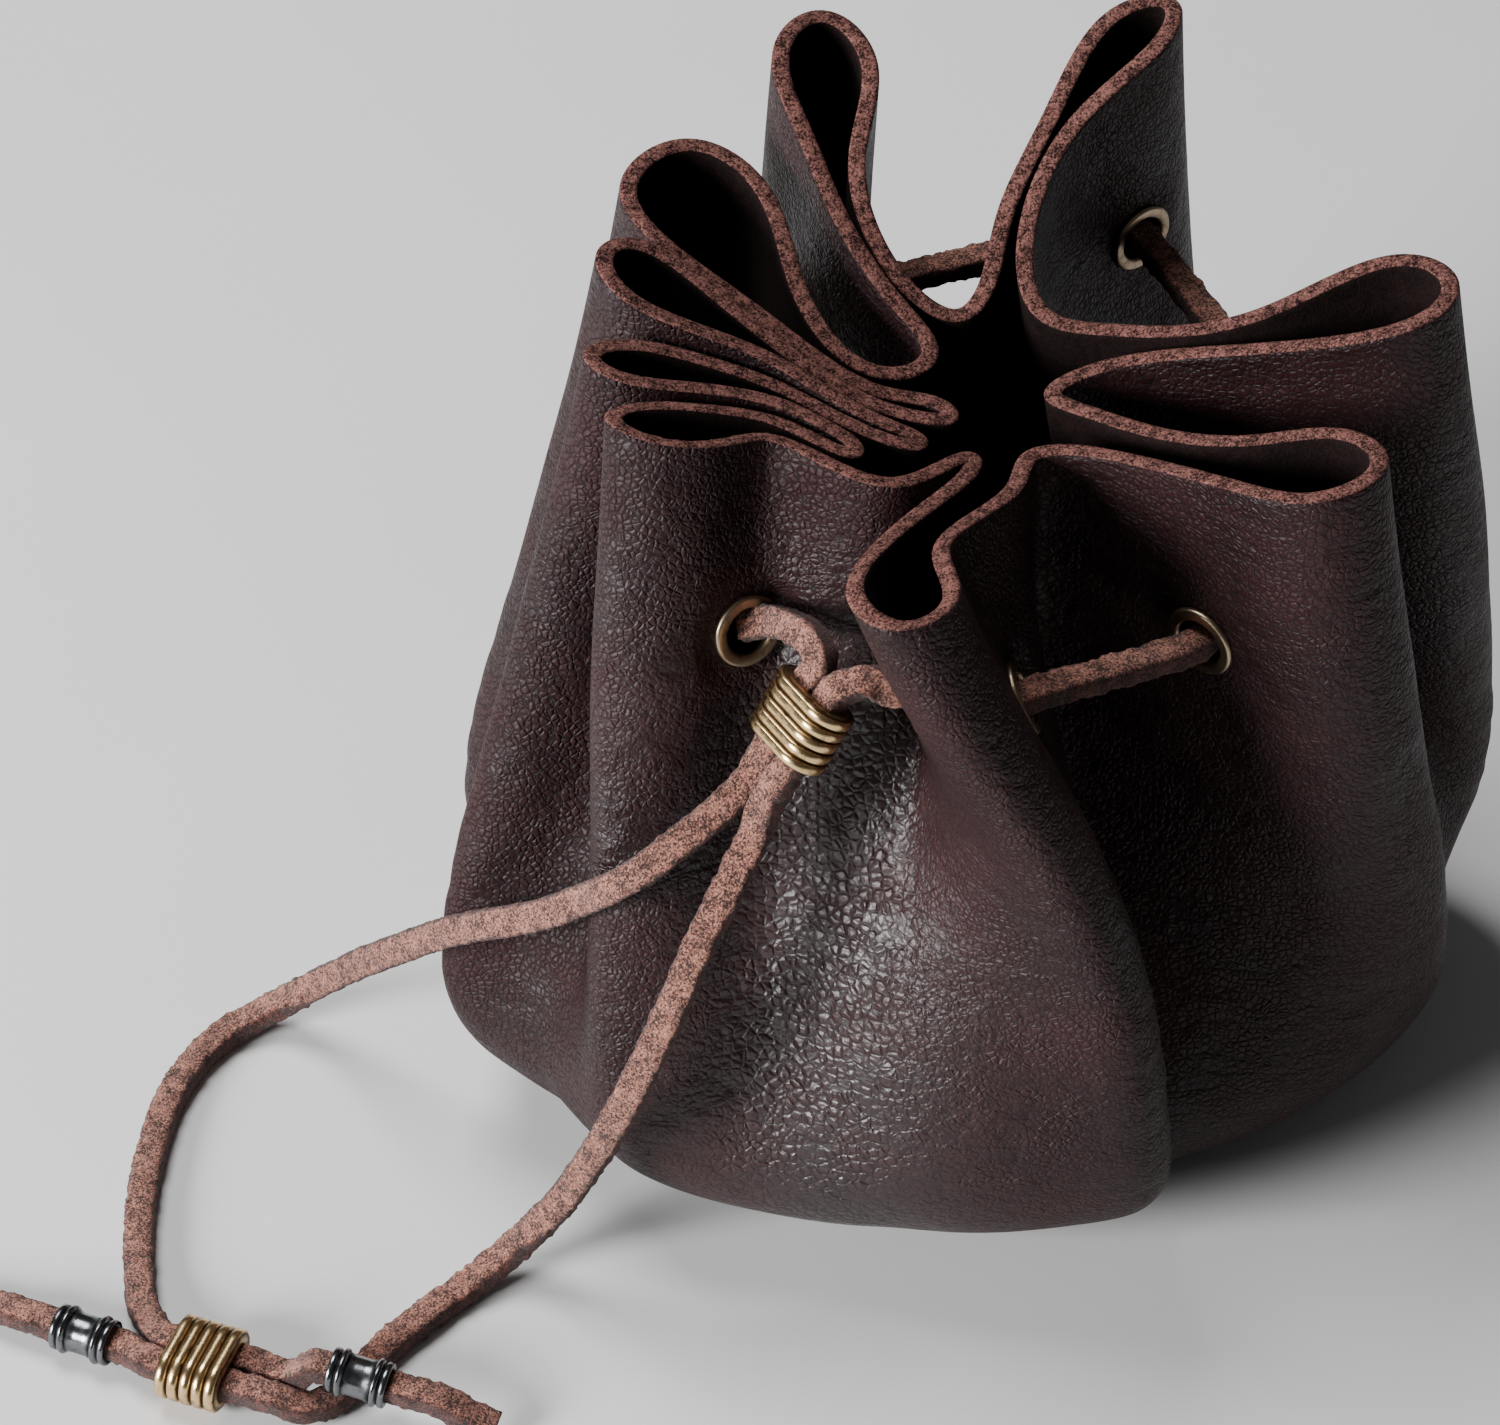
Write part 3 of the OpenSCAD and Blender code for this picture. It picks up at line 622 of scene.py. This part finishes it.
def suede_material():
    """Lace suede: pale napped faces; the cut sides and the underside carry painted shade in darker red.
    """
    s = Shader("suede_lace")
    fibres = s.noise(0.27, 3.0, 0.7, distortion=0.6)
    clumps = s.noise(1.8, 3.0)
    mixed = s.math("ADD", s.math("MULTIPLY", fibres, 0.75), s.math("MULTIPLY", clumps, 0.25))
    share = s.ramp(mixed, 0.43, 0.6)
    face = s.mix(share, (0.03, 0.008, 0.0055), (0.52, 0.22, 0.155))
    # painted shade: the darker red colour given to the cut sides and the underside
    cut = s.mix(share, (0.012, 0.003, 0.0025), (0.15, 0.044, 0.031))
    s.link(s.mix(s.attribute("cut"), face, cut), s.surface.inputs["Base Color"])
    s.surface.inputs["Roughness"].default_value = 0.95
    s.surface.inputs["Sheen Weight"].default_value = 0.15
    s.link(s.bump(mixed, 0.5, 1.0), s.surface.inputs["Normal"])
    return s.material


def metal_material(name, clean, tarnish, roughness, patch_mm=1.4):
    """Old metal: bright where it is rubbed, dark and dull in its grooves."""
    s = Shader(name)
    patches = s.noise(patch_mm, 4.0, 0.6)
    scratches = s.noise(0.12, 2.0)
    groove = s.attribute("groove")
    dirt = s.math("ADD", s.ramp(patches, 0.45, 0.75, 0.0, 0.6), groove, clamp=True)
    s.link(s.mix(dirt, clean, tarnish), s.surface.inputs["Base Color"])
    s.surface.inputs["Metallic"].default_value = 1.0
    s.link(s.blend(dirt, roughness, min(1.0, roughness + 0.3)), s.surface.inputs["Roughness"])
    s.link(s.bump(scratches, 0.02, 0.35), s.surface.inputs["Normal"])
    return s.material


# ---- lace ----
def smooth_path(points, step):
    """Curve through the points, at even steps, with centripetal tangents."""
    p = np.array(points, float)
    p = np.concatenate([2 * p[:1] - p[1:2], p, 2 * p[-1:] - p[-2:-1]])
    knots = np.concatenate([[0], np.cumsum(np.sqrt(np.linalg.norm(np.diff(p, axis=0), axis=1)))])
    dense = []
    for i in range(1, len(p) - 2):
        t0, t1, t2, t3 = knots[i - 1 : i + 3]
        t = np.linspace(t1, t2, 24, endpoint=False)[:, None]
        a1 = (t1 - t) / (t1 - t0) * p[i - 1] + (t - t0) / (t1 - t0) * p[i]
        a2 = (t2 - t) / (t2 - t1) * p[i] + (t - t1) / (t2 - t1) * p[i + 1]
        a3 = (t3 - t) / (t3 - t2) * p[i + 1] + (t - t2) / (t3 - t2) * p[i + 2]
        b1 = (t2 - t) / (t2 - t0) * a1 + (t - t0) / (t2 - t0) * a2
        b2 = (t3 - t) / (t3 - t1) * a2 + (t - t1) / (t3 - t1) * a3
        dense.append((t2 - t) / (t2 - t1) * b1 + (t - t1) / (t2 - t1) * b2)
    dense = np.concatenate(dense + [p[-2:-1]])
    along = np.concatenate([[0], np.cumsum(np.linalg.norm(np.diff(dense, axis=0), axis=1))])
    even = np.linspace(0, along[-1], max(8, int(along[-1] / step)))
    return np.stack([np.interp(even, along, dense[:, k]) for k in range(3)], 1), along[-1]


def lace_section(count=28):
    """Points of a soft-cornered rectangle, and how far each lies on the cut sides and the underside,
    which get painted shade.
    """
    a = np.arange(count) / count * 2 * math.pi
    x = np.sign(np.cos(a)) * np.abs(np.cos(a)) ** 0.42 * LACE_W / 2
    y = np.sign(np.sin(a)) * np.abs(np.sin(a)) ** 0.42 * LACE_T / 2
    cut = np.clip((np.abs(x) / (LACE_W / 2) - np.abs(y) / (LACE_T / 2)) * 3 + 0.5, 0, 1)
    # the underside is marked along with the cut sides, so it gets the same painted shade
    return x, y, np.maximum(cut, y < -0.3 * LACE_T)


def make_lace(name, points, ups, cad_node, material):
    """Flat suede lace along the points; ups are the directions its face looks at each point."""
    path, length = smooth_path(points, 0.42)
    guide = np.array(points, float)
    nearest = np.linspace(0, 1, len(path))
    marks = np.concatenate([[0], np.cumsum(np.linalg.norm(np.diff(guide, axis=0), axis=1))])
    marks = marks / marks[-1]
    up = unit(np.stack([np.interp(nearest, marks, np.array(ups, float)[:, k]) for k in range(3)], 1))
    along = unit(np.gradient(path, axis=0))
    wide = unit(np.cross(along, up))
    through = np.cross(wide, along)
    x, y, cut = lace_section()
    rings = path[:, None] + wide[:, None] * x[None, :, None] + through[:, None] * y[None, :, None]
    outward = unit(wide[:, None] * x[None, :, None] + through[:, None] * y[None, :, None])
    corner = (np.abs(x) / (LACE_W / 2) * np.abs(y) / (LACE_T / 2))[None, :]
    ragged = 0.1 + 0.11 * fractal(rings, 0.9, 3, 5) + 0.28 * corner * fractal(rings, 0.55, 2, 9)
    rings = rings + outward * ragged[..., None]
    count = len(x)
    faces = grid_faces(len(path), count)
    faces.append(tuple(range(count))[::-1])
    faces.append(tuple((len(path) - 1) * count + c for c in range(count)))
    piece = mesh_object(name, rings.reshape(-1, 3), faces, "pouch", [cad_node])
    piece.data.materials.append(material)
    # the cut weights mark where the lace colour gets painted shade: its cut sides and underside
    add_weights(piece, "cut", np.tile(cut, len(path)))
    return piece, path, length


STRAND_LEFT = [
    (-26, -21.6, 80.6), (-23.2, -25.2, 83), (-21, -28.2, 83.4),
    *through_bead(SLIDER_AT, 1, [-6.4, -4.2, 4.2, 9.4]),
    (-31, -36.2, 66.4), (-35.5, -38.6, 63.6), (-39.5, -40, 60.6), (-43, -39.5, 57.2), (-47, -36, 51.3),
    (-52, -32.8, 45.6), (-57, -29.6, 41), (-61.5, -25.8, 36), (-66, -21.8, 30), (-71, -17.4, 23),
    (-76, -12.8, 15.5), (-81, -9.2, 8.5), (-86, -8, 3.6), (-91.5, -10.3, 1.7), (-95, -14.5, 1.5),
    (-98, -21.5, 1.5), (-99.6, -30.5, 1.5), (-100, -40, 1.5), (-99.4, -48, 1.6), (-98.4, -54, 2.2),
    *through_bead(LOOP_AT, 1, [-5.6, -4.2, 4.2, 10.2]),
    *through_bead(STOP_RIGHT_AT, 0, [-5.2, -4.2, 8, 9.5]),
    (-60.5, -70.7, 3.6), (-57, -71.6, 2),
]
STRAND_RIGHT = [
    (-12, -31.6, 79.6), (-15.6, -32.3, 81.6),
    *through_bead(SLIDER_AT, -1, [-5.2, -4.2, 4.2, 9.4]),
    (-27.6, -38, 63.8), (-30.3, -41.2, 59), (-33.5, -44.6, 53.4),
    (-36.4, -47.4, 46.8), (-39.3, -49, 39.6), (-42.6, -49.6, 31), (-46, -48.6, 22), (-50.2, -47.4, 12.5),
    (-55.2, -47.2, 5), (-60.5, -50.2, 1.8), (-65.5, -54.8, 1.5), (-69.5, -59, 1.5), (-72.4, -63, 1.5),
    (-75.4, -67, 1.6), (-78.8, -69, 2.6),
    *through_bead(LOOP_AT, -1, [10.2, 8, 4.2, -4.2, -5.6]),
    *through_bead(STOP_LEFT_AT, 0, [-5.2, -4.2, 8, 9.5]),
    (-117.5, -53.5, 2), (-122, -52, 1.5), (-127, -50.8, 1.5),
]
IN_SLIDER = 7  # points of a strand that lie flat with the slider bead


def strand_ups(points):
    face = basis(SLIDER_AT[1], SLIDER_AT[2])[1]
    face = face if face[1] < 0 else -face
    ups = []
    for i, p in enumerate(points):
        if i < IN_SLIDER:
            ups.append(face)
        elif p[2] > 8:
            ups.append(unit((-0.25, -0.75, 0.6)))
        else:
            ups.append((0, 0, 1))
    return ups


def make_strand(name, first_eyelet, route, cad_node, material):
    points = [tuple(EYELET_PLACES[first_eyelet])] + route
    piece, path, length = make_lace(name, points, strand_ups(points), cad_node, material)
    return piece


def make_lacing(material):
    """The held length of lace: through each lobe inside, across each valley outside."""
    points, ups = [], []
    for k in range(EYELETS):
        centre, axis = EYELET_PLACES[k], EYELET_AXES[k]
        entering = k % 2 == 0
        reach = 1.9
        before = centre + axis * (reach if entering else -reach)
        after = centre - axis * (reach if entering else -reach)
        for p in (before, after):
            points.append(tuple(p))
            ups.append((0, 0, 1))
    points = points[1:-1]
    ups = ups[1:-1]
    return make_lace("lacing_lace", points, ups, "lacing", material)[0]


# ---- metal pieces ----
def place_points(local, centre, axis, side=(0, 0, 1)):
    return np.asarray(local) @ basis(axis, side) + np.asarray(centre)


def revolve(name, profile, centre, axis, body, nodes, material, side=(0, 0, 1), steps=64):
    """Closed ring of a profile of (radius, height, groove) turned round the axis."""
    profile = np.array(profile, float)
    a = np.arange(steps) / steps * 2 * math.pi
    ring = [
        (r * math.cos(t), r * math.sin(t), h)
        for r, h, _ in profile for t in a
    ]
    n = len(profile)
    faces = []
    for i in range(n):
        j = (i + 1) % n
        for c in range(steps):
            d = (c + 1) % steps
            faces.append((i * steps + c, i * steps + d, j * steps + d, j * steps + c))
    piece = mesh_object(name, place_points(ring, centre, axis, side), faces, body, nodes)
    piece.data.materials.append(material)
    add_weights(piece, "groove", np.repeat(profile[:, 2], steps))
    return piece


def arc(centre, radius, start, end, steps, groove=0.0):
    angles = np.radians(np.linspace(start, end, steps))
    return [(centre[0] + radius * math.cos(a), centre[1] + radius * math.sin(a), groove) for a in angles]


def make_eyelets(material):
    half = LEATHER_T / 2
    tube = 0.42
    outer_r = EYELET_FLANGE / 2
    profile = [
        (EYELET_BORE / 2, -half - EYELET_RIM, 1.0),
        (EYELET_BORE / 2, half, 0.8),
        *arc((EYELET_BORE / 2 + 0.5, half + 0.2), 0.5, 180, 90, 5, 0.2),
        *arc((outer_r - tube, half + EYELET_RIM - tube - 0.1), tube, 90, 0, 6),
        (outer_r, half, 0.6),
        (EYELET_BARREL / 2, half, 1.0),
        (EYELET_BARREL / 2, -half - EYELET_RIM, 1.0),
    ]
    for k in range(EYELETS):
        number = "%02d" % (k + 1)
        revolve("ring_" + number, profile[::-1], EYELET_PLACES[k], EYELET_AXES[k], "pouch",
                ["eyelet_" + number], material)
        washer = bpy.data.objects["washer_" + number]
        washer.data.materials.clear()
        washer.data.materials.append(material)


def stadium_ring(wide, thick, count):
    """Points of a stadium outline, evenly spread, counter-clockwise."""
    straight = wide - thick
    total = 2 * straight + math.pi * thick
    ring = []
    for k in range(count):
        s = (k / count * total + straight / 2) % total
        if s < straight:
            ring.append((straight / 2 - s, thick / 2))
        elif s < straight + math.pi * thick / 2:
            a = math.pi / 2 + (s - straight) / (thick / 2)
            ring.append((-straight / 2 + thick / 2 * math.cos(a), thick / 2 * math.sin(a)))
        elif s < 2 * straight + math.pi * thick / 2:
            ring.append((-straight / 2 + s - straight - math.pi * thick / 2, -thick / 2))
        else:
            a = -math.pi / 2 + (s - 2 * straight - math.pi * thick / 2) / (thick / 2)
            ring.append((straight / 2 + thick / 2 * math.cos(a), thick / 2 * math.sin(a)))
    return ring


def make_ribbed_bead(name, at, body, node, material):
    """Flat bead with soft ribs and a stadium bore for two laces side by side."""
    bore_w = 2 * LACE_W + 3 * LACE_GAP
    bore_t = LACE_T + 2 * LACE_GAP
    count = 96
    pitch = RIBBED_LEN / RIBS
    profile = [(-RIBBED_LEN / 2, 0.0, 0.6), (-RIBBED_LEN / 2, 0.55 * BEAD_WALL, 0.3)]
    for r in range(RIBS):
        z0 = -RIBBED_LEN / 2 + (r + 0.09) * pitch
        top = BEAD_WALL + RIB_DEPTH
        profile += [
            (z0 - 0.1, BEAD_WALL + 0.04, 1.0), (z0, BEAD_WALL + 0.1, 1.0), (z0 + 0.06, top - 0.16, 0.35),
            (z0 + 0.2, top, 0.0), (z0 + 0.82 * pitch - 0.2, top, 0.0),
            (z0 + 0.82 * pitch - 0.06, top - 0.16, 0.35), (z0 + 0.82 * pitch, BEAD_WALL + 0.1, 1.0),
        ]
    profile += [(RIBBED_LEN / 2, 0.55 * BEAD_WALL, 0.3), (RIBBED_LEN / 2, 0.0, 0.6)]
    points, groove = [], []
    for z, grow, dark in profile:
        for x, y in stadium_ring(bore_w + 2 * grow, bore_t + 2 * grow, count):
            points.append((x, y, z))
            groove.append(dark)
    faces = grid_faces(len(profile), count)
    last = (len(profile) - 1) * count
    for c in range(count):
        d = (c + 1) % count
        faces.append((last + c, last + d, d, c))
    piece = mesh_object(name, place_points(points, *at), faces, body, [node])
    piece.data.materials.append(material)
    add_weights(piece, "groove", groove)
    return piece


def make_stop_bead(name, at, body, node, material):
    h, r = STOP_LEN / 2, STOP_D / 2
    end = [(STOP_BORE / 2, -h, 0.8), (r - 0.35, -h, 0.3), (r - 0.2, -h + 0.12, 0.0),
           (r - 0.2, -h + 0.6, 0.0), (r - 0.3, -h + 0.72, 0.4), (r - 0.45, -h + 0.82, 1.0),
           (r - 0.45, -h + 0.93, 1.0)]
    end += arc((r - 0.36, -h + 1.4), 0.36, -75, 75, 7)
    end += [(r - 0.42, -h + 1.9, 1.0), (r - 0.44, -h + 2.3, 0.2)]
    waist = [(r - 0.52, z, 0.0) for z in np.linspace(-1, 1, 5)]
    mirrored = [(a, -b, c) for a, b, c in end[::-1]]
    return revolve(name, end + waist + mirrored, at[0], at[1], body, [node], material, at[2])


# ---- surroundings ----
def make_floor():
    s = Shader("pale_floor")
    tone = s.mix(s.noise(60, 2.0), (0.72, 0.72, 0.72), (0.77, 0.77, 0.77))
    s.link(tone, s.surface.inputs["Base Color"])
    s.surface.inputs["Roughness"].default_value = 0.75
    data = bpy.data.meshes.new("stage_floor")
    r = 4.0
    data.from_pydata([(-r, -r, 0), (r, -r, 0), (r, r, 0), (-r, r, 0)], [], [(0, 1, 2, 3)])
    floor = bpy.data.objects.new("stage_floor", data)
    bpy.context.collection.objects.link(floor)
    data.materials.append(s.material)


def make_light(name, location, size, power, target=(-0.01, 0, 0.06)):
    data = bpy.data.lights.new(name, "AREA")
    data.shape = "DISK"
    data.size = size
    data.energy = power
    light = bpy.data.objects.new(name, data)
    bpy.context.collection.objects.link(light)
    light.location = location
    light.rotation_euler = (Vector(target) - Vector(location)).to_track_quat("-Z", "Y").to_euler()


def make_surroundings():
    make_floor()
    make_light("key", (-0.72, -0.46, 0.32), 0.36, 15)
    make_light("top", (-0.3, 0.3, 0.9), 0.5, 9)
    world = bpy.data.worlds.new("soft_room")
    world.use_nodes = True
    world.node_tree.nodes["Background"].inputs["Color"].default_value = (1, 1, 1, 1)
    world.node_tree.nodes["Background"].inputs["Strength"].default_value = 0.07
    bpy.context.scene.world = world


# ---- the object ----
suede = suede_material()
brass = metal_material("antique_brass", (0.74, 0.52, 0.27), (0.05, 0.028, 0.012), 0.22)
eyelet_metal = metal_material("eyelet_bronze", (0.42, 0.32, 0.22), (0.07, 0.045, 0.03), 0.32)
gunmetal = metal_material("gunmetal", (0.17, 0.175, 0.185), (0.012, 0.012, 0.013), 0.2)

slider = make_ribbed_bead("slider_ribbed", SLIDER_AT, "slider", "slider_bead", brass)
loop = make_ribbed_bead("loop_ribbed", LOOP_AT, "loop", "loop_bead", brass)
stop_left = make_stop_bead("stop_left_barrel", STOP_LEFT_AT, "stop_left", "stop_bead_left", gunmetal)
stop_right = make_stop_bead("stop_right_barrel", STOP_RIGHT_AT, "stop_right", "stop_bead_right", gunmetal)
make_strand("strand_left_lace", EYELETS - 1, STRAND_LEFT, "strand_left", suede)
make_strand("strand_right_lace", 0, STRAND_RIGHT, "strand_right", suede)
make_lacing(suede)
make_surroundings()
make_leather()
make_eyelets(eyelet_metal)
